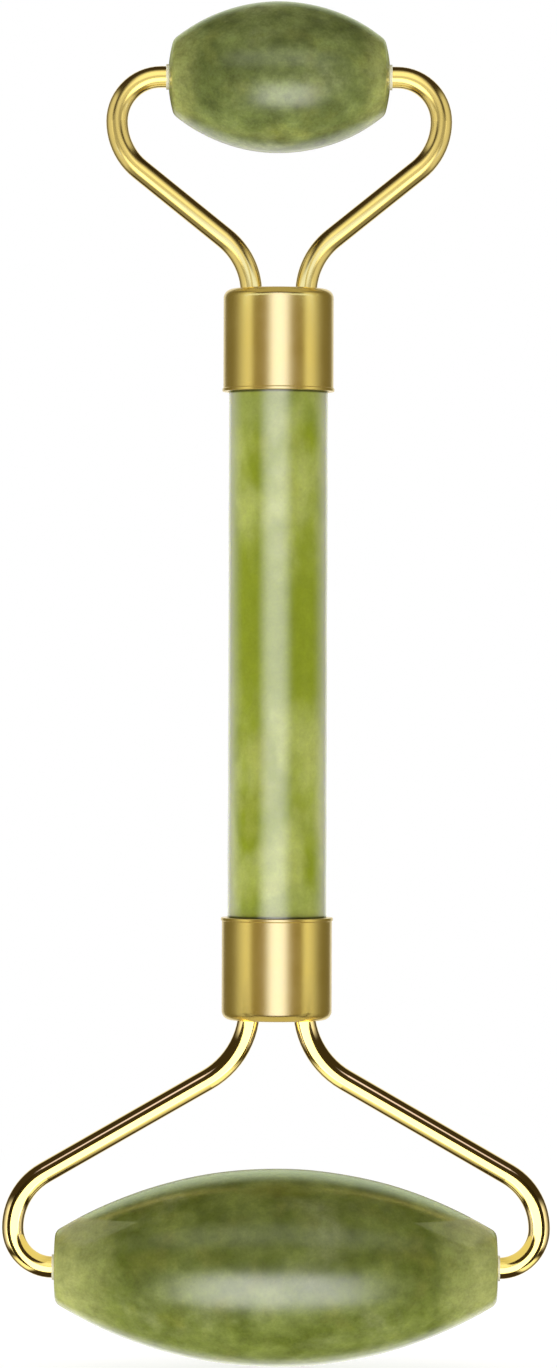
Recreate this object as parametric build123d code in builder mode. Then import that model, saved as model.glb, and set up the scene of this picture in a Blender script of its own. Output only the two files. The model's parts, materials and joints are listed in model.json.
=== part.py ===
from build123d import *
from math import cos, radians, sin
import os

# A jade face roller. A stone handle carries a metal ferrule on each end, and each ferrule holds a
# bent wire fork. A barrel-shaped stone roller turns on the two wire ends of each fork.
#
# Frame, in millimetres: the origin is the middle of the handle, +Z runs along the handle to the
# small roller, and +X runs along both axles. "Outward" means away from the middle of the handle:
# +1 at the small end and -1 at the large end.

os.makedirs("parts", exist_ok=True)

SMALL_END = 1
LARGE_END = -1

# --- handle ---
handle_diameter = 10.5
handle_bare_length = 55.8  # what shows between the two ferrules
handle_seat = 4.3  # how far each end goes into its ferrule
handle_end_chamfer = 0.4

# --- ferrules: one design, used at both ends ---
ferrule_diameter = 11.7
ferrule_length = 10.87
ferrule_bore = 10.7
ferrule_end_wall = 0.9
ferrule_shoulder_radius = 0.95  # outer edge of the closed end
ferrule_inner_radius = 0.5  # corner at the bottom of the cup
lip_diameter = 11.9
lip_width = 0.35
lip_rounding = 0.08
leg_hole_diameter = 2.7
leg_hole_x = 3.0

# --- fork wire ---
wire_diameter = 2.3
leg_x = 2.9  # half the distance between the two legs
bend_height = 36.6  # centre of the hidden bend that joins the legs, from the origin
wire_end_chamfer = 0.25

# --- small end ---
small_axle_height = 61.3
small_fork_reach = 17.22  # from the handle's axis to the widest point of the wire's centreline
small_shoulder_radius = 4.7
small_flank_radius = 6.6
small_flank_angle = 51.2  # lean of the straight flank away from the handle's axis
small_neck_radius = 7.5
small_roller_length = 23.6  # over the domed ends, before the bore is made
small_roller_diameter = 16.05
small_roller_crown = 17.6  # radius of the barrel's long curve
small_roller_dome = 14.0  # radius of the barrel's end faces
small_roller_rounding = 1.2
small_pin_depth = 5.0  # how far each wire end goes into the stone

# --- large end ---
large_axle_height = 65.1
large_fork_reach = 27.95
large_shoulder_radius = 4.2
large_flank_radius = 6.7
large_flank_angle = 60.1
large_neck_radius = 8.8
large_roller_length = 47.15
large_roller_diameter = 20.95
large_roller_crown = 44.5
large_roller_dome = 45.0
large_roller_rounding = 1.0
large_pin_depth = 7.0

# --- sleeves on the wire ends, and the bores that turn on them ---
sleeve_wall = 0.2
sleeve_proud = 0.2  # how far it stands out beyond the roller's length
running_clearance = 0.1  # radial, between a sleeve and the stone's bore
bore_mouth_chamfer = 0.15

# --- filler and glue ---
potting_recess = 0.2  # the filler stops this far below the ferrule's end face
bond_recess = 0.3  # the glue stops this far inside the ferrule's rim
bond_thickness = 0.2  # glue across the end of the handle

# --- sizes that follow from those above ---
handle_end = handle_bare_length / 2 + handle_seat
rim_height = handle_bare_length / 2
end_face_height = rim_height + ferrule_length
cup_bottom_height = end_face_height - ferrule_end_wall
bond_end_height = handle_end + bond_thickness
sleeve_diameter = wire_diameter + 2 * sleeve_wall
roller_bore = sleeve_diameter + 2 * running_clearance


def side_plane(outward):
    """Plane through the handle's axis, with local x along +X and local y pointing outward."""
    return Plane(origin=(0, 0, 0), x_dir=(1, 0, 0), z_dir=(0, -outward, 0))


def level_plane(outward, height):
    """Plane across the handle's axis at a height from the origin, facing outward."""
    return Plane(origin=(0, 0, outward * height), x_dir=(1, 0, 0), z_dir=(0, 0, outward))


def make_ferrule(outward, name):
    """A cup with a small lip round its open rim and two leg holes in its closed end."""
    bore_radius = ferrule_bore / 2
    outer_radius = ferrule_diameter / 2
    lip_radius = lip_diameter / 2
    lip_end = rim_height + lip_width
    outline = [
        (0, end_face_height),
        (outer_radius, end_face_height),
        (outer_radius, lip_end),
        (lip_radius, lip_end),
        (lip_radius, rim_height),
        (bore_radius, rim_height),
        (bore_radius, cup_bottom_height),
        (0, cup_bottom_height),
    ]
    roundings = [
        0,
        ferrule_shoulder_radius,
        lip_rounding / 2,
        lip_rounding,
        lip_rounding,
        lip_rounding,
        ferrule_inner_radius,
        0,
    ]
    with BuildPart() as ferrule:
        with BuildSketch(side_plane(outward)):
            with BuildLine():
                FilletPolyline(*outline, radius=roundings, close=True)
            make_face()
        revolve(axis=Axis.Z)
        with BuildSketch(level_plane(outward, end_face_height)):
            with Locations((-leg_hole_x, 0), (leg_hole_x, 0)):
                Circle(leg_hole_diameter / 2)
        extrude(amount=-2 * ferrule_end_wall, mode=Mode.SUBTRACT)
    ferrule.part.label = name
    export_step(ferrule.part, f"parts/{name}.step")


def make_fork(outward, name, axle_height, reach, shoulder_radius, flank_radius, flank_angle,
              neck_radius, pin_tip_x):
    """A round wire bent into a fork, from one pin through the hidden bend to the other pin."""
    lean = radians(flank_angle)
    sideways_in_bends = (neck_radius + flank_radius) * (1 - cos(lean))
    flank_length = (reach - leg_x - sideways_in_bends) / sin(lean)
    rise_in_bends = (neck_radius + flank_radius) * sin(lean) + shoulder_radius
    leg_end_height = axle_height - rise_in_bends - flank_length * cos(lean)
    with BuildPart() as fork:
        with BuildLine(side_plane(outward)) as centreline:
            hidden_bend = JernArc((0, bend_height - leg_x), (1, 0), leg_x, 90)
            leg = Line(hidden_bend @ 1, (leg_x, leg_end_height))
            neck = JernArc(leg @ 1, leg % 1, neck_radius, -flank_angle)
            flank = Line(neck @ 1, neck @ 1 + (neck % 1) * flank_length)
            upper_flank = JernArc(flank @ 1, flank % 1, flank_radius, flank_angle)
            shoulder = JernArc(upper_flank @ 1, upper_flank % 1, shoulder_radius, 90)
            pin = Line(shoulder @ 1, (pin_tip_x, axle_height))
            mirror(about=Plane.YZ)
        with BuildSketch(Plane(origin=pin @ 1, z_dir=pin % 1)):
            Circle(wire_diameter / 2)
        sweep(path=centreline.wire())
        wire_ends = fork.faces().filter_by(GeomType.PLANE)
        chamfer(wire_ends.edges(), wire_end_chamfer)
    fork.part.label = name
    export_step(fork.part, f"parts/{name}.step")
    return fork.part


def make_potting(outward, name, fork):
    """Filler between the glue and the ferrule's end wall, round the fork's legs and bend."""
    bore_radius = ferrule_bore / 2
    outline = [
        (0, bond_end_height),
        (bore_radius, bond_end_height),
        (bore_radius, cup_bottom_height),
        (0, cup_bottom_height),
    ]
    with BuildPart() as potting:
        with BuildSketch(side_plane(outward)):
            with BuildLine():
                FilletPolyline(*outline, radius=[0, 0, ferrule_inner_radius, 0], close=True)
            make_face()
        revolve(axis=Axis.Z)
        with BuildSketch(level_plane(outward, end_face_height - potting_recess)):
            with Locations((-leg_hole_x, 0), (leg_hole_x, 0)):
                Circle(leg_hole_diameter / 2)
        extrude(amount=-ferrule_end_wall)
        add(fork, mode=Mode.SUBTRACT)
    potting.part.label = name
    export_step(potting.part, f"parts/{name}.step")


def make_bond(outward, name, handle):
    """Glue in the gap round the end of the handle and across its end face."""
    bond_start = rim_height + bond_recess
    with BuildPart() as bond:
        with BuildSketch(level_plane(outward, bond_start)):
            Circle(ferrule_bore / 2)
        extrude(amount=bond_end_height - bond_start)
        add(handle, mode=Mode.SUBTRACT)
    bond.part.label = name
    export_step(bond.part, f"parts/{name}.step")


def make_roller(outward, name, axle_height, length, diameter, crown_radius, dome_radius, rounding):
    """A crowned stone barrel with slightly domed ends, bored right through along its axle."""
    axle_centre = (0, 0, outward * axle_height)
    with BuildPart() as roller:
        with BuildSketch(Plane(origin=axle_centre, x_dir=(1, 0, 0), z_dir=(0, -1, 0))) as profile:
            with Locations((0, diameter / 2 - crown_radius)):
                Circle(crown_radius)
            for side in (-1, 1):
                with Locations((side * (length / 2 - dome_radius), 0)):
                    Circle(dome_radius, mode=Mode.INTERSECT)
            with Locations((0, diameter / 2)):
                Rectangle(length, diameter, mode=Mode.INTERSECT)
            crown_ends = profile.vertices().group_by(Axis.Z)[-1]
            fillet(crown_ends, rounding)
        revolve(axis=Axis(axle_centre, (1, 0, 0)))
        with BuildSketch(Plane(origin=axle_centre, z_dir=(1, 0, 0))):
            Circle(roller_bore / 2)
        extrude(amount=length / 2, both=True, mode=Mode.SUBTRACT)
        bore_wall = roller.faces().filter_by(GeomType.CYLINDER)
        chamfer(bore_wall.edges().filter_by(GeomType.CIRCLE), bore_mouth_chamfer)
    roller.part.label = name
    export_step(roller.part, f"parts/{name}.step")


def make_sleeve(outward, name, axle_height, inner_end_x, length):
    """A thin tube on one wire end, running along +X from its end nearer -X."""
    start = Plane(origin=(inner_end_x, 0, outward * axle_height), z_dir=(1, 0, 0))
    with BuildPart() as sleeve:
        with BuildSketch(start):
            Circle(sleeve_diameter / 2)
            Circle(wire_diameter / 2, mode=Mode.SUBTRACT)
        extrude(amount=length)
    sleeve.part.label = name
    export_step(sleeve.part, f"parts/{name}.step")


def make_sleeve_pair(outward, end_name, axle_height, roller_length, pin_depth):
    """The two sleeves of one fork, each from the wire's tip to just outside the stone."""
    length = pin_depth + sleeve_proud
    outer_end_x = roller_length / 2 + sleeve_proud
    make_sleeve(outward, f"{end_name}_left_sleeve", axle_height, -outer_end_x, length)
    make_sleeve(outward, f"{end_name}_right_sleeve", axle_height, outer_end_x - length, length)


# --- handle ---
with BuildPart() as handle:
    with BuildSketch(Plane.XY.offset(-handle_end)):
        Circle(handle_diameter / 2)
    extrude(amount=2 * handle_end)
    chamfer(handle.edges().filter_by(GeomType.CIRCLE), handle_end_chamfer)
handle.part.label = "handle"
export_step(handle.part, "parts/handle.step")

# --- ferrules, glue ---
make_ferrule(SMALL_END, "small_end_ferrule")
make_ferrule(LARGE_END, "large_end_ferrule")
make_bond(SMALL_END, "small_end_bond", handle.part)
make_bond(LARGE_END, "large_end_bond", handle.part)

# --- forks, and the filler that holds them ---
small_fork = make_fork(
    SMALL_END,
    "small_fork",
    small_axle_height,
    small_fork_reach,
    small_shoulder_radius,
    small_flank_radius,
    small_flank_angle,
    small_neck_radius,
    small_roller_length / 2 - small_pin_depth,
)
large_fork = make_fork(
    LARGE_END,
    "large_fork",
    large_axle_height,
    large_fork_reach,
    large_shoulder_radius,
    large_flank_radius,
    large_flank_angle,
    large_neck_radius,
    large_roller_length / 2 - large_pin_depth,
)
make_potting(SMALL_END, "small_fork_potting", small_fork)
make_potting(LARGE_END, "large_fork_potting", large_fork)

# --- rollers, and the sleeves that they turn on ---
make_roller(
    SMALL_END,
    "small_roller",
    small_axle_height,
    small_roller_length,
    small_roller_diameter,
    small_roller_crown,
    small_roller_dome,
    small_roller_rounding,
)
make_roller(
    LARGE_END,
    "large_roller",
    large_axle_height,
    large_roller_length,
    large_roller_diameter,
    large_roller_crown,
    large_roller_dome,
    large_roller_rounding,
)
make_sleeve_pair(SMALL_END, "small", small_axle_height, small_roller_length, small_pin_depth)
make_sleeve_pair(LARGE_END, "large", large_axle_height, large_roller_length, large_pin_depth)
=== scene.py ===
import json
from math import asin, atan2, cos, pi, radians, sin, sqrt, tan

import bmesh
import bpy
from mathutils import Euler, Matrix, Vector, noise


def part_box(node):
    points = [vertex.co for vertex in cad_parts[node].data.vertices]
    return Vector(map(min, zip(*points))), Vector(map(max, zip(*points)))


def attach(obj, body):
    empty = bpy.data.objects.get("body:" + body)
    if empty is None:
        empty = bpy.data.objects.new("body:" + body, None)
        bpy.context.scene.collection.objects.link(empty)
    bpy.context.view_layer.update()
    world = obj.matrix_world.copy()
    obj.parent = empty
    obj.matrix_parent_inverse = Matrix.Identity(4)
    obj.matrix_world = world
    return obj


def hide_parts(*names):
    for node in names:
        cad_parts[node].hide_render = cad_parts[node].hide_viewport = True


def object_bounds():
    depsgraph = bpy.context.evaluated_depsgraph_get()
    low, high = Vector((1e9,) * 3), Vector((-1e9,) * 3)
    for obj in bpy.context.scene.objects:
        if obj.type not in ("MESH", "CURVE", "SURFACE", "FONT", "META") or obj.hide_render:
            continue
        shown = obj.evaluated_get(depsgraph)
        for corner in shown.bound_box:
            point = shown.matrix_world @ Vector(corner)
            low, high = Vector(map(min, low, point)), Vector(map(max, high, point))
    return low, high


# A jade face roller: a stone handle with a brass ferrule on each end, a gilt wire fork in each
# ferrule, and a stone roller on each fork. The handle lies along Z, with the small roller at the
# top. Lengths are in metres, and the small ones are written as a number of MM.

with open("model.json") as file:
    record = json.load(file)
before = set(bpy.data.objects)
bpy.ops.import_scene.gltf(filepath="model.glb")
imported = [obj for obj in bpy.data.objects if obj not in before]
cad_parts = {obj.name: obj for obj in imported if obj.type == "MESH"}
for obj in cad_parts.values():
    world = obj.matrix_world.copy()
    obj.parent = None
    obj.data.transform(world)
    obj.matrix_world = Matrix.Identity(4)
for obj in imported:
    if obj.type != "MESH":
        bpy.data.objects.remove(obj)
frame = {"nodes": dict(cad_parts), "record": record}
cad_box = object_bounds()

MM = 0.001
NODES = frame["nodes"]
HANDLE = ("handle",)
SMALL_ROLLER = ("small_roller",)
LARGE_ROLLER = ("large_roller",)
ROLLERS = SMALL_ROLLER + LARGE_ROLLER
FERRULES = ("small_end_ferrule", "large_end_ferrule")
SMALL_FORK = ("small_fork",)
LARGE_FORK = ("large_fork",)
FORKS = SMALL_FORK + LARGE_FORK
SLEEVES = tuple(name for name in NODES if name.endswith("_sleeve"))

# ---------------------------------------------------------------------------------------------
# Short-hand for node trees
# ---------------------------------------------------------------------------------------------


def add_node(tree, kind, inputs=(), **settings):
    """Adds a node. Inputs are given by place or by name, each as a socket to link or as a value."""
    made = tree.nodes.new("ShaderNode" + kind)
    for key, value in settings.items():
        setattr(made, key, value)
    pairs = inputs.items() if isinstance(inputs, dict) else enumerate(inputs)
    for key, source in pairs:
        if isinstance(source, bpy.types.NodeSocket):
            tree.links.new(source, made.inputs[key])
        else:
            made.inputs[key].default_value = source
    return made


def calc(tree, operation, *values):
    return add_node(tree, "Math", values, operation=operation).outputs[0]


def smooth_step(tree, value, start, end):
    """0 below start and 1 above end, or the other way round when start is the larger."""
    inputs = {"Value": value, "From Min": start, "From Max": end}
    return add_node(tree, "MapRange", inputs, interpolation_type="SMOOTHSTEP").outputs[0]


def remap(tree, value, low, high):
    """Takes 0..1 to low..high."""
    return add_node(tree, "MapRange", {"Value": value, "To Min": low, "To Max": high}).outputs[0]


def spread(tree, value, share):
    """Takes 0..1 to a factor that goes this share below and above 1."""
    return remap(tree, value, 1 - share, 1 + share)


def mix_colour(tree, factor, first, second, blend="MIX"):
    mixer = add_node(tree, "Mix", (factor,), data_type="RGBA", blend_type=blend)
    for place, colour in ((6, first), (7, second)):
        if isinstance(colour, bpy.types.NodeSocket):
            tree.links.new(colour, mixer.inputs[place])
        else:
            mixer.inputs[place].default_value = (*colour, 1.0)
    return mixer.outputs[2]


def stretched(tree, stretch=(1, 1, 1), shift=(0, 0, 0)):
    """Object coordinates, which turn with the piece, stretched by these amounts along each axis."""
    coordinates = add_node(tree, "TexCoord").outputs["Object"]
    shrink = tuple(1 / amount for amount in stretch)
    inputs = {"Vector": coordinates, "Scale": shrink, "Location": shift}
    return add_node(tree, "Mapping", inputs).outputs[0]


def along_axis(tree, axis):
    """The object coordinate along one axis."""
    return add_node(tree, "SeparateXYZ", (stretched(tree),)).outputs[axis]


def grain(tree, vector, size, detail=3.0, roughness=0.55, distortion=0.0):
    """Soft noise in 0..1 whose features are about this size."""
    inputs = {
        "Vector": vector,
        "Scale": 1 / size,
        "Detail": detail,
        "Roughness": roughness,
        "Distortion": distortion,
    }
    return add_node(tree, "TexNoise", inputs).outputs["Fac"]


def bump(tree, height, depth, strength):
    inputs = {"Strength": strength, "Distance": depth, "Height": height}
    return add_node(tree, "Bump", inputs).outputs[0]


def emission(tree, strength, colour=(1, 1, 1)):
    return add_node(tree, "Emission", {"Color": (*colour, 1.0), "Strength": strength}).outputs[0]


def emptied_tree(owner):
    """The node tree of a material, a world or a light, without the nodes it starts with."""
    owner.use_nodes = True
    owner.node_tree.nodes.clear()
    return owner.node_tree


def new_material(name):
    """A material and its empty tree."""
    material = bpy.data.materials.new(name)
    return material, emptied_tree(material)


def show(tree, shader, owner="Material"):
    """Sends a shader to the output of a material, a world or a light."""
    output = add_node(tree, "Output" + owner)
    tree.links.new(shader, output.inputs["Surface"])


def with_surface(material, inputs):
    """Gives a new material its principled surface."""
    tree = material.node_tree
    show(tree, add_node(tree, "BsdfPrincipled", inputs).outputs[0])
    return material


# ---------------------------------------------------------------------------------------------
# Jade
# ---------------------------------------------------------------------------------------------

MOTTLE_SIZE = 1.7 * MM
SPECKLE_SIZE = 0.3 * MM
SPECKLE_DEPTH = 0.008 * MM
CLOUD_RANGE = (0.36, 0.62)
VEIL_RANGE = (0.52, 0.78)
WARM_RANGE = (0.5, 0.75)
WARM_SHARE = 0.45
# The painted pale rim of light along the edges of the jade is full at this facing weight.
PAINTED_RIM_END = 0.95
JADE_INDEX = 1.62
LIGHT_REACH = 1.2 * MM

# Where a roller takes a painted glow of light through its thin ends, in shares of its half length.
END_GLOW_RANGE = (0.66, 0.95)
END_GLOW_SHARE = 0.8
END_GLOW_DRIFT = 0.08
# Painted rim light on a roller fades out between these shares of its half length, before the ends.
FLANK_RANGE = (0.97, 0.86)

HANDLE_SEAT = 4.3 * MM  # how far each end of the handle goes into its ferrule
BARE_HALF = (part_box("handle")[1].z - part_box("handle")[0].z) / 2 - HANDLE_SEAT
# Painted shade: a thin dark ring on the stone where it goes into each ferrule.
JOINT_SHADE_COLOUR = (0.05, 0.045, 0.012)
JOINT_SHADE_SHARE = 0.8
JOINT_SHADE_START = BARE_HALF - 0.3 * MM
JOINT_SHADE_FULL = BARE_HALF - 0.1 * MM
BAND_DRIFT = 6.0 * MM
BAND_CORE = 0.25  # the part of a band's half width that has its full colour
# Middle and half width of each dark band of the handle, its colour and how strong it is. The middle
# band is the stone's own tone; the two by the ferrules are partly the stone's tone and partly
# painted shade.
DARK_BANDS = (
    (28.5 * MM, 6.5 * MM, "shade", 0.65),
    (2.5 * MM, 13.0 * MM, "deep", 1.0),
    (-28.0 * MM, 4.5 * MM, "shade", 0.5),
)

HANDLE_PALETTE = {
    "deep": (0.380, 0.460, 0.036),
    # Colour of the end bands: partly the stone's tone, partly painted shade from the ferrules.
    "shade": (0.355, 0.430, 0.085),
    "body": (0.620, 0.690, 0.190),
    "pale": (0.690, 0.745, 0.310),
    "warm": (0.590, 0.630, 0.150),
    # Painted rim light: the pale colour of the edges, how much of it, and the facing weight where
    # it starts.
    "rim": (0.94, 0.96, 0.84),
    "rim_share": 1.0,
    "rim_start": 0.25,
    "contrast": (0.2, 0.14),
    "shine": (0.12, 0.2),
    "cloud_size": 5.0 * MM,
    "cloud_stretch": (1.0, 1.0, 1.9),
    "shift": (0.4, 0.85, 0.39),
}
ROLLER_TRAITS = {
    # Painted rim light: the pale colour of the edges, how much of it, and the facing weight where
    # it starts.
    "rim": (0.78, 0.83, 0.62),
    "rim_share": 0.9,
    "rim_start": 0.72,
    "shine": (0.19, 0.3),
    "cloud_size": 4.5 * MM,
    "cloud_stretch": (1.3, 1.0, 1.0),
}
SMALL_PALETTE = {
    **ROLLER_TRAITS,
    "deep": (0.165, 0.205, 0.055),
    "body": (0.265, 0.320, 0.098),
    "pale": (0.380, 0.430, 0.180),
    "warm": (0.310, 0.330, 0.075),
    # Painted glow of light through the thin ends.
    "ends": (0.430, 0.460, 0.150),
    "contrast": (0.7, 0.35),
    "shift": (0.97, 0.89, 0.3),
}
LARGE_PALETTE = {
    **ROLLER_TRAITS,
    "deep": (0.148, 0.186, 0.026),
    "body": (0.236, 0.285, 0.062),
    "pale": (0.335, 0.375, 0.140),
    "warm": (0.290, 0.300, 0.060),
    # Painted glow of light through the thin ends.
    "ends": (0.510, 0.540, 0.195),
    "contrast": (0.5, 0.25),
    "shift": (0.18, 0.56, 0.45),
}


def clouded_colour(tree, palette, plain):
    """Soft clouds between a deep and a middle green, with milky and warm parts."""
    size = palette["cloud_size"]
    drawn = stretched(tree, stretch=palette["cloud_stretch"], shift=palette["shift"])
    cloud = grain(tree, drawn, size, detail=3.0, roughness=0.45, distortion=0.2)
    body_share = smooth_step(tree, cloud, *CLOUD_RANGE)
    colour = mix_colour(tree, body_share, palette["deep"], palette["body"])
    veil = grain(tree, drawn, 1.6 * size, detail=4.0, roughness=0.5, distortion=0.3)
    colour = mix_colour(tree, smooth_step(tree, veil, *VEIL_RANGE), colour, palette["pale"])
    warmth = grain(tree, plain, 0.8 * size, detail=3.0, roughness=0.5)
    warm_share = calc(tree, "MULTIPLY", smooth_step(tree, warmth, *WARM_RANGE), WARM_SHARE)
    return mix_colour(tree, warm_share, colour, palette["warm"])


def with_stone_grain(tree, colour, mottle, speckle, contrast):
    """Darkens and lightens a colour in small blots and in a fine sandy grain, by these shares."""
    blots = spread(tree, mottle, contrast[0])
    lightness = calc(tree, "MULTIPLY", blots, spread(tree, speckle, contrast[1]))
    grey = add_node(tree, "CombineColor", (lightness, lightness, lightness)).outputs[0]
    return mix_colour(tree, 1.0, colour, grey, "MULTIPLY")


def finish_jade(material, colour, palette, plain, rim_limit):
    """Adds the grain, a painted pale rim of light along the edges, and the polished surface."""
    tree = material.node_tree
    mottle = grain(tree, plain, MOTTLE_SIZE, detail=4.0, roughness=0.6)
    speckle = grain(tree, plain, SPECKLE_SIZE, detail=2.0, roughness=0.7)
    colour = with_stone_grain(tree, colour, mottle, speckle, palette["contrast"])
    # Painted rim light: the colour turns pale where the surface is seen edge on.
    facing = add_node(tree, "LayerWeight", {"Blend": 0.5}).outputs["Facing"]
    rim = smooth_step(tree, facing, palette["rim_start"], PAINTED_RIM_END)
    rim = calc(tree, "MULTIPLY", calc(tree, "MULTIPLY", rim, rim_limit), palette["rim_share"])
    surface = {
        "Base Color": mix_colour(tree, rim, colour, palette["rim"]),
        "Roughness": remap(tree, mottle, *palette["shine"]),
        "IOR": JADE_INDEX,
        "Subsurface Weight": 0.75,
        "Subsurface Radius": (1.0, 1.1, 0.45),
        "Subsurface Scale": LIGHT_REACH,
        "Normal": bump(tree, speckle, SPECKLE_DEPTH, strength=0.6),
    }
    return with_surface(material, surface)


def roller_jade(name, palette, node):
    """The stone of a roller. Painted light makes it paler and yellower towards both ends, where the
    stone is thin.
    """
    material, tree = new_material(name)
    half_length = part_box(node)[1].x
    plain = stretched(tree, shift=palette["shift"])
    colour = clouded_colour(tree, palette, plain)
    along = calc(tree, "ABSOLUTE", along_axis(tree, "X"))
    # Painted glow of light through the thin ends, with a wavy edge.
    drift = remap(tree, grain(tree, plain, size=3.0 * MM), -END_GLOW_DRIFT, END_GLOW_DRIFT)
    share = calc(tree, "ADD", calc(tree, "DIVIDE", along, half_length), drift)
    ends = calc(tree, "MULTIPLY", smooth_step(tree, share, *END_GLOW_RANGE), END_GLOW_SHARE)
    colour = mix_colour(tree, ends, colour, palette["ends"])
    # The painted rim light stays on the crown, clear of the ends.
    flanks = smooth_step(tree, share, *FLANK_RANGE)
    return finish_jade(material, colour, palette, plain, flanks)


def handle_jade(name, palette):
    """The stone of the handle. Dark bands cross it, the two by the ferrules partly painted shade,
    and painted shade darkens it where it meets a ferrule.
    """
    material, tree = new_material(name)
    plain = stretched(tree, shift=palette["shift"])
    colour = clouded_colour(tree, palette, plain)
    height = along_axis(tree, "Z")
    drift = remap(tree, grain(tree, plain, size=5.0 * MM), -BAND_DRIFT, BAND_DRIFT)
    wavy_height = calc(tree, "ADD", height, drift)
    for middle, half_width, tone, share in DARK_BANDS:
        away = calc(tree, "ABSOLUTE", calc(tree, "SUBTRACT", wavy_height, middle))
        band = smooth_step(tree, away, half_width, BAND_CORE * half_width)
        colour = mix_colour(tree, calc(tree, "MULTIPLY", band, share), colour, palette[tone])
    # Painted shade in a thin ring where the stone goes into each ferrule.
    joint_shade = smooth_step(tree, calc(tree, "ABSOLUTE", height), JOINT_SHADE_START, JOINT_SHADE_FULL)
    colour = mix_colour(tree, calc(tree, "MULTIPLY", joint_shade, JOINT_SHADE_SHARE), colour, JOINT_SHADE_COLOUR)
    # No painted rim light inside the painted shade at the joints.
    open_air = calc(tree, "SUBTRACT", 1.0, joint_shade)
    return finish_jade(material, colour, palette, plain, open_air)


# ---------------------------------------------------------------------------------------------
# Metals and plastics
# ---------------------------------------------------------------------------------------------

BRASS_TINTS = ((0.89, 0.68, 0.15), (0.93, 0.73, 0.20))
GOLD_TINTS = ((0.90, 0.70, 0.19), (0.94, 0.74, 0.25))
LARGE_FORK_SHINE = (0.06, 0.1)
SMALL_FORK_SHINE = (0.13, 0.2)
RING_STRETCH = (60, 60, 1)  # grain that is drawn out this much makes rings round the axis
PLASTIC_SHINE_SPREAD = 0.08


def satin_brass(name):
    """Turned and lacquered brass: fine rings round the axis, and faint rubs."""
    material, tree = new_material(name)
    ring_coordinates = stretched(tree, stretch=RING_STRETCH)
    rings = grain(tree, ring_coordinates, size=0.05 * MM, roughness=0.7)
    rubs = grain(tree, stretched(tree), size=3.0 * MM, detail=4.0)
    surface = {
        "Base Color": mix_colour(tree, rubs, *BRASS_TINTS),
        "Metallic": 1.0,
        "Roughness": remap(tree, rubs, 0.2, 0.3),
        "Anisotropic": 0.4,
        "Tangent": add_node(tree, "Tangent", direction_type="RADIAL", axis="Z").outputs[0],
        "Coat Weight": 0.25,
        "Coat Roughness": 0.08,
        "Normal": bump(tree, rings, depth=0.004 * MM, strength=0.6),
    }
    return with_surface(material, surface)


def plated_gold(name, shine):
    """Gold-plated wire with very faint handling marks. Shine is the range of roughness."""
    material, tree = new_material(name)
    marks = grain(tree, stretched(tree), size=0.6 * MM, detail=4.0, roughness=0.6)
    broad = grain(tree, stretched(tree), size=6.0 * MM, detail=2.0)
    surface = {
        "Base Color": mix_colour(tree, broad, *GOLD_TINTS),
        "Metallic": 1.0,
        "Roughness": remap(tree, marks, *shine),
        "Normal": bump(tree, broad, depth=0.01 * MM, strength=0.3),
    }
    return with_surface(material, surface)


def grained_plastic(name, light, dark, size, roughness, soft=0.0):
    """Cast or moulded plastic: two near shades in a fine grain, with a matching bump."""
    material, tree = new_material(name)
    grains = grain(tree, stretched(tree), size, detail=4.0, roughness=0.6)
    dullest = roughness + PLASTIC_SHINE_SPREAD
    brightest = roughness - PLASTIC_SHINE_SPREAD
    surface = {
        "Base Color": mix_colour(tree, grains, dark, light),
        "Roughness": remap(tree, grains, brightest, dullest),
        "Subsurface Weight": soft,
        "Subsurface Radius": (1.0, 0.9, 0.7),
        "Subsurface Scale": 0.5 * MM,
        "Normal": bump(tree, grains, depth=0.01 * MM, strength=0.5),
    }
    return with_surface(material, surface)


def cream_nylon():
    return grained_plastic(
        "cream_nylon",
        light=(0.94, 0.90, 0.68),
        dark=(0.84, 0.78, 0.54),
        size=0.4 * MM,
        roughness=0.42,
        soft=0.5,
    )


def potting_filler():
    return grained_plastic(
        "potting_filler",
        light=(0.30, 0.27, 0.20),
        dark=(0.20, 0.18, 0.13),
        size=0.3 * MM,
        roughness=0.6,
    )


def set_glue():
    return grained_plastic(
        "set_glue",
        light=(0.62, 0.58, 0.38),
        dark=(0.50, 0.46, 0.28),
        size=0.5 * MM,
        roughness=0.3,
        soft=0.3,
    )


# ---------------------------------------------------------------------------------------------
# Who wears what. The two forks share a material slot, and the small one is a little duller.
# ---------------------------------------------------------------------------------------------

STONES = {
    "handle": handle_jade("handle_jade", HANDLE_PALETTE),
    "small_roller": roller_jade("small_roller_jade", SMALL_PALETTE, "small_roller"),
    "large_roller": roller_jade("large_roller_jade", LARGE_PALETTE, "large_roller"),
}
SLOT_MATERIALS = {
    "handle_stone": STONES["handle"],
    "roller_stone": STONES["large_roller"],
    "ferrule_metal": satin_brass("ferrule_brass"),
    "fork_wire": plated_gold("large_fork_gold", LARGE_FORK_SHINE),
    "sleeve_nylon": cream_nylon(),
    "potting": potting_filler(),
    "glue": set_glue(),
}
for entry in frame["record"]["subparts"]:
    for holder in NODES[entry["node"]].material_slots:
        holder.material = SLOT_MATERIALS[entry["material_slot"]]
small_fork_gold = plated_gold("small_fork_gold", SMALL_FORK_SHINE)
NODES["small_fork"].material_slots[0].material = small_fork_gold

# ---------------------------------------------------------------------------------------------
# The three stones: turned forms of even quads, a little uneven from polishing by hand
# ---------------------------------------------------------------------------------------------

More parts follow.
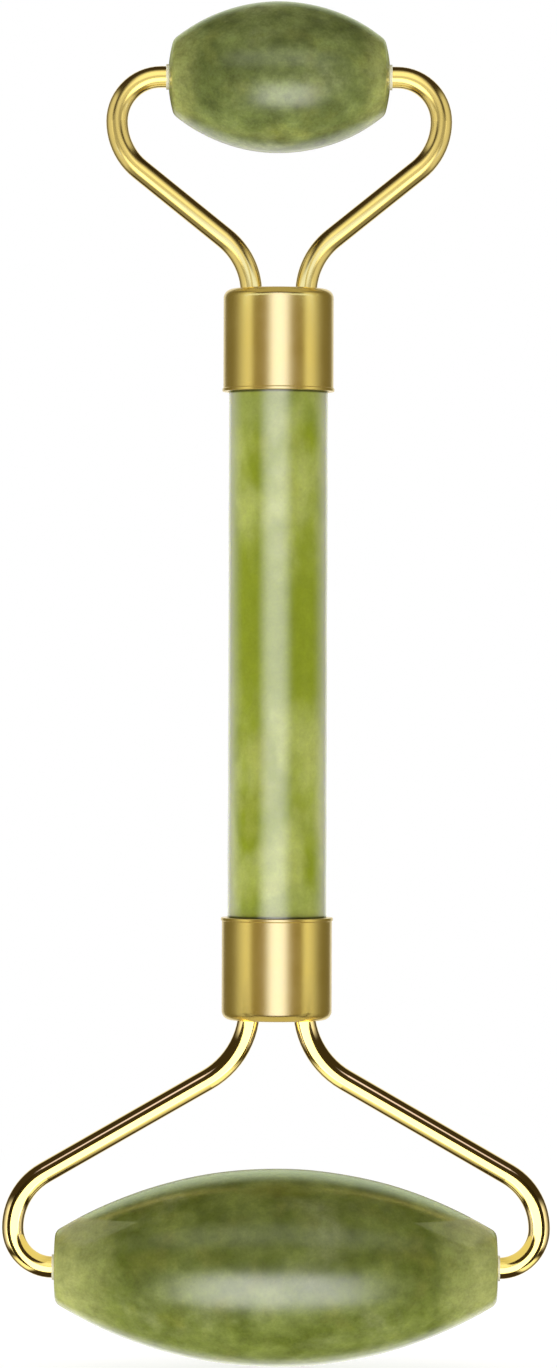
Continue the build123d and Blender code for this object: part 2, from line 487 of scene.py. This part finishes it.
SEGMENTS = 128
CROWN_STEPS = 48
ROUNDING_STEPS = 8
DOME_STEPS = 14
BORE_STEPS = 12
ROD_STEPS = 128
BORE_RADIUS = 1.45 * MM
OUTSIDE_FROM = 2 * BORE_RADIUS  # all that is nearer to the axis stays even
MOUTH_CHAMFER = 0.15 * MM
HANDLE_CHAMFER = 0.4 * MM
UNEVEN_DEPTH = 0.03 * MM
UNEVEN_SIZE = 6.0 * MM
UNEVEN_FADE = 2.0 * MM
SHARP_ANGLE = radians(38)
STANDS_FOR = {}  # the new mesh of each CAD node that has one


def arc(centre, radius, start, end, steps):
    """Points from start to end, both included, on a circle."""
    turns = [start + (end - start) * step / steps for step in range(steps + 1)]
    return [(centre[0] + radius * cos(turn), centre[1] + radius * sin(turn)) for turn in turns]


def meeting_point(first, first_radius, second, second_radius):
    """Of the two meeting points of two circles, the one that is further along the axis."""
    span = Vector(second) - Vector(first)
    reach = (first_radius**2 - second_radius**2 + span.length_squared) / (2 * span.length)
    across = Vector((-span.y, span.x)).normalized() * sqrt(first_radius**2 - reach**2)
    foot = Vector(first) + span.normalized() * reach
    return max(foot + across, foot - across, key=lambda spot: spot.x)


def barrel_outline(half_reach, radius, crown, dome, rounding):
    """A closed outline in (distance along the axis, radius): crown, end, bore and back.

    Crown, dome and rounding are the radii of the arcs of the side, of the end and between them.
    """
    mouth = BORE_RADIUS + MOUTH_CHAMFER
    crown_centre = (0.0, radius - crown)
    dome_centre = (half_reach - sqrt(dome**2 - mouth**2), 0.0)
    corner = meeting_point(crown_centre, crown - rounding, dome_centre, dome - rounding)
    crown_end = atan2(corner.y - crown_centre[1], corner.x - crown_centre[0])
    dome_start = atan2(corner.y - dome_centre[1], corner.x - dome_centre[0])
    outline = arc(crown_centre, crown, pi / 2, crown_end, CROWN_STEPS)
    outline += arc(corner, rounding, crown_end, dome_start, ROUNDING_STEPS)[1:]
    outline += arc(dome_centre, dome, dome_start, asin(mouth / dome), DOME_STEPS)[1:]
    bore_end = half_reach - MOUTH_CHAMFER
    for step in range(BORE_STEPS + 1):
        outline.append((bore_end * (1 - step / BORE_STEPS), BORE_RADIUS))
    return outline + [(-along, out) for along, out in reversed(outline[1:-1])]


def rod_outline(low, high, radius, chamfer):
    """An open outline from one end of the axis to the other."""
    start = low + chamfer
    length = high - low - 2 * chamfer
    side = [(start + length * step / ROD_STEPS, radius) for step in range(ROD_STEPS + 1)]
    return [(low, 0.0), (low, radius - chamfer), *side, (high, radius - chamfer), (high, 0.0)]


def add_ring(shape, along, radius, axis, middle):
    """A ring of vertices round the axis, or a single vertex where the radius is 0."""
    ring = []
    for step in range(SEGMENTS if radius > 0 else 1):
        turn = 2 * pi * step / SEGMENTS
        side = radius * cos(turn)
        up = radius * sin(turn)
        spot = (along, side, up) if axis == "X" else (side, up, along)
        ring.append(shape.verts.new(middle + Vector(spot)))
    return ring


def turned_mesh(name, outline, looped, axis, middle):
    """Turns an outline about an axis through the middle. A looped one is joined end to end."""
    shape = bmesh.new()
    rings = [add_ring(shape, along, radius, axis, middle) for along, radius in outline]
    pairs = list(zip(rings, rings[1:]))
    if looped:
        pairs.append((rings[-1], rings[0]))
    for first, second in pairs:
        for step in range(SEGMENTS):
            after = (step + 1) % SEGMENTS
            corners = [first[step % len(first)], first[after % len(first)]]
            corners += [second[after % len(second)], second[step % len(second)]]
            shape.faces.new(list(dict.fromkeys(corners)))
    bmesh.ops.recalc_face_normals(shape, faces=shape.faces)
    mesh = bpy.data.meshes.new(name)
    shape.to_mesh(mesh)
    shape.free()
    return mesh


def add_unevenness(mesh, middle, axis, free_half):
    """Moves the outside in and out a little, but not where other pieces touch the stone."""
    place = 0 if axis == "X" else 2
    for vertex in mesh.vertices:
        outward = vertex.co - middle
        along = abs(outward[place])
        outward[place] = 0.0
        free = min(1.0, max(0.0, (free_half - along) / UNEVEN_FADE))
        if outward.length > OUTSIDE_FROM:
            depth = UNEVEN_DEPTH * free * noise.noise(vertex.co / UNEVEN_SIZE)
            vertex.co += outward.normalized() * depth


def make_stone(node, outline, looped, axis, body, free_half):
    """Puts a turned stone on its body, in place of the CAD node's own mesh."""
    low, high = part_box(node)
    middle = (low + high) / 2
    mesh = turned_mesh(node + "_stone", outline, looped, axis, middle)
    add_unevenness(mesh, middle, axis, free_half)
    mesh.materials.append(STONES[node])
    mesh.shade_smooth()
    mesh.set_sharp_from_angle(angle=SHARP_ANGLE)
    stone = bpy.data.objects.new(node + "_stone", mesh)
    bpy.context.scene.collection.objects.link(stone)
    stone.visible_glossy = node not in ROLLERS
    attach(stone, body)
    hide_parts(node)
    STANDS_FOR[node] = stone


def make_roller(node, crown, dome, rounding):
    low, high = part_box(node)
    outline = barrel_outline(high.x, (high.z - low.z) / 2, crown, dome, rounding)
    make_stone(node, outline, True, "X", node, high.x)


def make_handle():
    low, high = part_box("handle")
    half = (high.z - low.z) / 2
    outline = rod_outline(-half, half, (high.x - low.x) / 2, HANDLE_CHAMFER)
    make_stone("handle", outline, False, "Z", "frame", BARE_HALF)


make_roller("small_roller", crown=17.6 * MM, dome=14.0 * MM, rounding=1.2 * MM)
make_roller("large_roller", crown=44.5 * MM, dome=45.0 * MM, rounding=1.0 * MM)
make_handle()

# ---------------------------------------------------------------------------------------------
# Floor and world
# ---------------------------------------------------------------------------------------------

FLOOR_GAP = 0.2 * MM
FLOOR_SIZE = 6.0
FLOOR_FADE = (0.1, 0.3)
FLOOR_GREY = (0.4, 0.4, 0.4, 1.0)
FLOOR_GLOW = 0.8
WHITE = (1.0, 1.0, 1.0, 1.0)
ROOM_COLOUR = (1.0, 0.7, 0.42, 1.0)
ROOM_STRENGTH = 0.05


def add_sheet(name, corners):
    """A flat stage piece, and the empty tree of its material."""
    mesh = bpy.data.meshes.new(name)
    mesh.from_pydata(corners, [], [(0, 1, 2, 3)])
    sheet = bpy.data.objects.new(name, mesh)
    bpy.context.scene.collection.objects.link(sheet)
    material, tree = new_material(name)
    mesh.materials.append(material)
    return sheet, tree


def level_corners(start, end, front, back, level):
    return [(start, front, level), (end, front, level), (end, back, level), (start, back, level)]


def upright_corners(near, far, bottom, top, depth):
    return [(near, depth, bottom), (far, depth, bottom), (far, depth, top), (near, depth, top)]


def mix_shaders(tree, share, first, second):
    return add_node(tree, "MixShader", (share, first, second)).outputs[0]


def make_floor():
    """A pale floor just under the object, seen only from above, that fades into the backdrop."""
    half = FLOOR_SIZE / 2
    corners = level_corners(-half, half, -half, half, cad_box[0].z - FLOOR_GAP)
    floor, tree = add_sheet("floor", corners)
    matt = add_node(tree, "BsdfDiffuse", {"Color": FLOOR_GREY}).outputs[0]
    lit = add_node(tree, "AddShader", (matt, emission(tree, FLOOR_GLOW))).outputs[0]
    away = add_node(tree, "VectorMath", (stretched(tree),), operation="LENGTH").outputs["Value"]
    faded = smooth_step(tree, away, *FLOOR_FADE)
    top = mix_shaders(tree, faded, lit, emission(tree, 1.0))
    clear = add_node(tree, "BsdfTransparent").outputs[0]
    underside = add_node(tree, "NewGeometry").outputs["Backfacing"]
    show(tree, mix_shaders(tree, underside, top, clear))
    floor.visible_glossy = False
    floor.visible_diffuse = False
    floor.visible_shadow = False


def make_world():
    """White to the camera. Reflections see a dim warm room."""
    world = bpy.data.worlds.new("studio")
    bpy.context.scene.world = world
    tree = emptied_tree(world)
    room = add_node(tree, "Background", {"Color": ROOM_COLOUR, "Strength": ROOM_STRENGTH})
    backdrop = add_node(tree, "Background", {"Color": WHITE, "Strength": 1.0})
    to_camera = add_node(tree, "LightPath").outputs["Is Camera Ray"]
    mixed = mix_shaders(tree, to_camera, room.outputs[0], backdrop.outputs[0])
    show(tree, mixed, "World")


# ---------------------------------------------------------------------------------------------
# Lights. They face the origin. Side angles go from the front round to the right, and level
# angles go up. A soft edge takes four angles: dark, full, still full, and dark again.
# ---------------------------------------------------------------------------------------------

NEAREST_LIGHT = 1.0
LIGHT_STEP = 0.02

BEHIND = (140, 158, 202, 220)
BEHIND_ROLLERS = (140, 156, 204, 220)
BEHIND_LEVELS = (-45, -30, 30, 45)
FERRULE_LEVELS = (-35, -25, 25, 35)
FLANK_LEVELS = (-44, -32, 32, 44)
MIDDLE_SIDES = (-50, -40, 40, 50)
TOP_SIDES = (-50, -20, 20, 50)

GREEN_WHITE = (0.94, 1.0, 0.84)
LEAF_GREEN = (0.85, 1.0, 0.7)
AMBER = (1.0, 0.82, 0.42)
STRAW = (1.0, 0.92, 0.55)
CREAM = (1.0, 0.95, 0.85)
# Gold takes away most of the blue, so a bluish light comes out of a reflection near to white.
FAINT_BLUE = (1.0, 1.0, 1.4)
SOFT_BLUE = (1.0, 1.15, 1.9)
VIOLET_BLUE = (1.0, 0.92, 2.0)
STRONG_BLUE = (1.0, 1.14, 2.9)


def only_for(lamp, receivers):
    """Limits a light to these CAD nodes, and to the pieces that stand for them."""
    group = bpy.data.collections.new(lamp.name + "_receivers")
    for name in receivers:
        group.objects.link(STANDS_FOR.get(name, NODES[name]))
    lamp.light_linking.receiver_collection = group


def soften_edges(lamp, sides, levels):
    """Fades a light towards the ends of both ranges of angle."""
    tree = emptied_tree(lamp.data)
    place = add_node(tree, "NewGeometry").outputs["Position"]
    strength = 1.0
    for direction, angles in ((Vector((1, 0, 0)), sides), (Vector((0, 1, 0)), levels)):
        axis = lamp.rotation_quaternion @ direction
        product = add_node(tree, "VectorMath", (place, axis), operation="DOT_PRODUCT")
        slope = calc(tree, "DIVIDE", product.outputs["Value"], lamp.location.length)
        turn = calc(tree, "DEGREES", calc(tree, "ARCTANGENT", slope))
        angle = calc(tree, "ADD", turn, (angles[0] + angles[3]) / 2)
        for dark, full in ((angles[0], angles[1]), (angles[3], angles[2])):
            strength = calc(tree, "MULTIPLY", strength, smooth_step(tree, angle, dark, full))
    show(tree, emission(tree, strength), "Light")


def make_light(name, sides, levels, radiance, colour=(1, 1, 1)):
    """A rectangle of light from the first to the last of both ranges of angle.

    Each light is a little further away than the last, so that none hides another one.
    """
    distance = NEAREST_LIGHT + LIGHT_STEP * len(bpy.data.lights)
    turn = radians((sides[0] + sides[-1]) / 2)
    rise = radians((levels[0] + levels[-1]) / 2)
    place = Vector((sin(turn) * cos(rise), -cos(turn) * cos(rise), sin(rise))) * distance
    light = bpy.data.lights.new(name, "AREA")
    light.shape = "RECTANGLE"
    light.size = 2 * distance * tan(radians(sides[-1] - sides[0]) / 2)
    light.size_y = 2 * distance * tan(radians(levels[-1] - levels[0]) / 2)
    light.energy = radiance * pi * light.size * light.size_y
    light.color = colour
    lamp = bpy.data.objects.new(name, light)
    lamp.location = place
    lamp.rotation_mode = "QUATERNION"
    lamp.rotation_quaternion = (-place).to_track_quat("-Z", "Y")
    lamp.visible_camera = False
    bpy.context.scene.collection.objects.link(lamp)
    return lamp


def make_fill(name, sides, levels, radiance, receivers=None):
    """Shades the surfaces without being reflected in them."""
    lamp = make_light(name, sides, levels, radiance)
    lamp.visible_glossy = False
    if receivers:
        only_for(lamp, receivers)


def make_reflection(name, receivers, sides, levels, radiance, colour=(1, 1, 1)):
    """A soft box that these nodes reflect. It adds nothing to their shading."""
    lamp = make_light(name, sides, levels, radiance, colour)
    lamp.visible_diffuse = False
    soften_edges(lamp, sides, levels)
    only_for(lamp, receivers)


def light_all_round():
    """Shades every piece from the front, both sides, behind and above, and some from below."""
    make_fill("front_fill", (-35, 35), (-55, 0), 1.9)
    make_fill("left_fill", (-125, -65), (-30, 30), 1.6)
    make_fill("right_fill", (65, 125), (-30, 30), 1.2)
    make_fill("back_fill", (150, 210), (-10, 50), 1.4)
    make_fill("top_fill", (-40, 40), (60, 120), 0.8)
    make_fill("low_fill", (-50, 50), (-110, -50), 1.1, ROLLERS)
    make_fill("sleeve_fill", (-60, 60), (-30, 30), 1.5, SLEEVES)


def light_handle():
    make_reflection("handle_glow", HANDLE, (-52, -14, 4, 40), (-14, -8, 8, 14), 5.2)


def light_edges():
    """Soft boxes behind the object, which show as a pale line along the edges."""
    make_reflection("handle_rim_glow", HANDLE, BEHIND, BEHIND_LEVELS, 0.95, GREEN_WHITE)
    make_reflection("metal_rim_glow", FERRULES + FORKS, BEHIND, BEHIND_LEVELS, 0.9)
    make_reflection("roller_rim_glow", ROLLERS, BEHIND_ROLLERS, (-60, -40, -14, -4), 1.2)
    levels = (8, 18, 36, 52)
    for node, radiance in (("small_roller", 0.8), ("large_roller", 1.6)):
        name = node + "_top_rim"
        make_reflection(name, (node,), BEHIND_ROLLERS, levels, radiance, LEAF_GREEN)


def light_ferrules():
    make_reflection("ferrule_broad", FERRULES, (-68, -40, 40, 68), FERRULE_LEVELS, 0.23, AMBER)
    make_reflection("ferrule_core", FERRULES, (-28, -8, 11, 31), FERRULE_LEVELS, 1.12, STRONG_BLUE)
    make_reflection("ferrule_over", FERRULES, MIDDLE_SIDES, (40, 52, 128, 140), 0.4, CREAM)
    make_reflection("ferrule_under", FERRULES, MIDDLE_SIDES, (-140, -128, -52, -40), 0.55, CREAM)


def light_rollers():
    make_reflection("large_roller_glow", LARGE_ROLLER, (-31, -18, 16, 30), (-51, -36, -12, 0), 5.9)
    make_reflection("small_roller_glow", SMALL_ROLLER, (-24, -4, 16, 36), (-56, -42, -22, -8), 4.2)
    make_reflection("large_top_glow", LARGE_ROLLER, TOP_SIDES, (24, 36, 48, 60), 0.8)
    make_reflection("small_top_glow", SMALL_ROLLER, TOP_SIDES, (10, 22, 34, 46), 1.0)


def light_forks():
    make_reflection("small_low", SMALL_FORK, (-50, -24, 24, 50), (-62, -44, -18, -4), 2.4)
    make_reflection("small_below", SMALL_FORK, (-30, -18, 18, 30), (-128, -112, -64, -52), 0.9)
    make_reflection("small_high", SMALL_FORK, (-36, -12, 12, 36), (6, 20, 46, 84), 1.25)
    make_reflection("small_middle", SMALL_FORK, (-64, -54, 54, 64), (-12, -6, 10, 16), 0.38)
    make_reflection("small_core", SMALL_FORK, (-18, -8, 8, 18), (-8, -4, 8, 12), 0.3)
    make_reflection("large_low", LARGE_FORK, (-66, -58, 58, 66), (-62, -46, 0, 4), 3.0)
    make_reflection("large_column", LARGE_FORK, (-9, -4, 4, 9), (2, 10, 66, 74), 1.2)


def mirrored(side, angles):
    """A range of angles as it is for the right side, or turned over for the left side."""
    return angles if side > 0 else tuple(-angle for angle in reversed(angles))


def light_flank(side, word):
    """The strips of light down one side of the metal."""
    strip = mirrored(side, (52, 61, 61, 114))
    edge = mirrored(side, (92, 112, 136, 152))
    large_strip = mirrored(side, (52, 62, 62, 130))
    small_strip = mirrored(side, (40, 58, 78, 150))
    small_lower = mirrored(side, (54, 64, 98, 108))
    streak = mirrored(side, (27, 34, 42, 49))
    lower = mirrored(side, (40, 48, 88, 126))
    large_levels = (-34, -24, 8, 20)
    make_reflection("strip_" + word, FERRULES, strip, FLANK_LEVELS, 0.9)
    make_reflection("edge_" + word, FERRULES, edge, FLANK_LEVELS, 0.14, STRAW)
    make_reflection("large_strip_" + word, LARGE_FORK, large_strip, large_levels, 1.3, FAINT_BLUE)
    make_reflection("small_strip_" + word, SMALL_FORK, small_strip, FLANK_LEVELS, 0.72)
    make_reflection("small_lower_" + word, SMALL_FORK, small_lower, (-74, -62, -40, -30), 0.22)
    make_reflection("streak_" + word, LARGE_FORK, streak, (35, 43, 49, 57), 1.25, VIOLET_BLUE)
    make_reflection("lower_" + word, LARGE_FORK, lower, (-68, -60, -46, -38), 1.3)


# ---------------------------------------------------------------------------------------------
# Cards: small stage pieces near the forks that only reflections see
# ---------------------------------------------------------------------------------------------

SHADE_COLOUR = (0.05, 0.035, 0.02, 1.0)
BEND_GLOW_COLOUR = (0.9, 0.86, 0.63)
NEAR_LEVEL = 0.35  # a ray that rises or falls by less than this, per length, is near level


def add_card(name, corners):
    card, tree = add_sheet(name, corners)
    card.visible_camera = False
    card.visible_diffuse = False
    card.visible_shadow = False
    card.visible_transmission = False
    return tree


def ray_rise(tree):
    """How much the ray that meets a card comes from above (positive) or from below."""
    towards = add_node(tree, "NewGeometry").outputs["Incoming"]
    return add_node(tree, "SeparateXYZ", (towards,)).outputs["Z"]


def glow_where(tree, shown, colour):
    """Lets a card glow where this value is 1, and makes it clear where it is 0."""
    clear = add_node(tree, "BsdfTransparent").outputs[0]
    show(tree, mix_shaders(tree, shown, clear, emission(tree, 1.0, colour)))


def make_shade(side, word):
    """A dark card by a vertical of the large fork."""
    low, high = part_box("large_fork")
    near = side * (high.x + 9 * MM)
    far = side * (high.x + 40 * MM)
    bottom = low.z - 35 * MM
    top = high.z - 8 * MM
    depth = -23 * MM
    corners = upright_corners(near, far, bottom, top, depth)
    tree = add_card("shade_" + word, corners)
    show(tree, add_node(tree, "BsdfDiffuse", {"Color": SHADE_COLOUR}).outputs[0])


def make_bend_glow(side, word):
    """A small card over a lower bend of the large fork, bright from below."""
    low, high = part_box("large_fork")
    inner = high.x - 16 * MM
    outer = high.x - 4 * MM
    level = low.z + 6.5 * MM
    front = -6 * MM
    back = 8 * MM
    corners = level_corners(side * inner, side * outer, front, back, level)
    tree = add_card("bend_glow_" + word, corners)
    from_middle = calc(tree, "ABSOLUTE", along_axis(tree, "X"))
    fade = smooth_step(tree, from_middle, outer, outer - 2 * MM)
    from_below = calc(tree, "LESS_THAN", ray_rise(tree), 0.0)
    glow_where(tree, calc(tree, "MULTIPLY", fade, from_below), BEND_GLOW_COLOUR)


def make_leg_glow(side, word):
    """A small card in front of a leg of the small fork, bright only to rays that are near level."""
    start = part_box("small_end_ferrule")[1].z
    bottom = start + 1 * MM
    top = start + 11 * MM
    near = side * 2 * MM
    far = side * 45 * MM
    depth = -14 * MM
    corners = upright_corners(near, far, bottom, top, depth)
    tree = add_card("leg_glow_" + word, corners)
    fade = smooth_step(tree, along_axis(tree, "Z"), top, bottom + 3 * MM)
    level_ray = calc(tree, "LESS_THAN", calc(tree, "ABSOLUTE", ray_rise(tree)), NEAR_LEVEL)
    glow_where(tree, calc(tree, "MULTIPLY", fade, level_ray), SOFT_BLUE)


# ---------------------------------------------------------------------------------------------
# Camera, and the whole stage. Each light's distance comes from the order of these calls.
# ---------------------------------------------------------------------------------------------

LENS = 155.4
SENSOR_WIDTH = 36.0
CAMERA_SIDE = 0.1 * MM
CAMERA_DISTANCE = 627 * MM
CAMERA_TILT = radians(0.17)


def make_camera():
    """A long lens in front of the object, level with its middle."""
    camera = bpy.data.cameras.new("camera")
    camera.lens = LENS
    camera.sensor_width = SENSOR_WIDTH
    holder = bpy.data.objects.new("camera", camera)
    middle = (cad_box[0] + cad_box[1]) / 2
    holder.location = (CAMERA_SIDE, -CAMERA_DISTANCE, middle.z)
    holder.rotation_euler = Euler((radians(90), 0, 0))
    holder.rotation_euler.rotate_axis("Z", CAMERA_TILT)
    bpy.context.scene.collection.objects.link(holder)
    bpy.context.scene.camera = holder


make_floor()
make_world()
light_all_round()
light_handle()
light_edges()
light_ferrules()
light_rollers()
light_forks()
for side, word in ((-1, "left"), (1, "right")):
    light_flank(side, word)
    make_shade(side, word)
    make_bend_glow(side, word)
    make_leg_glow(side, word)
make_camera()
bpy.context.scene.view_settings.view_transform = "Standard"
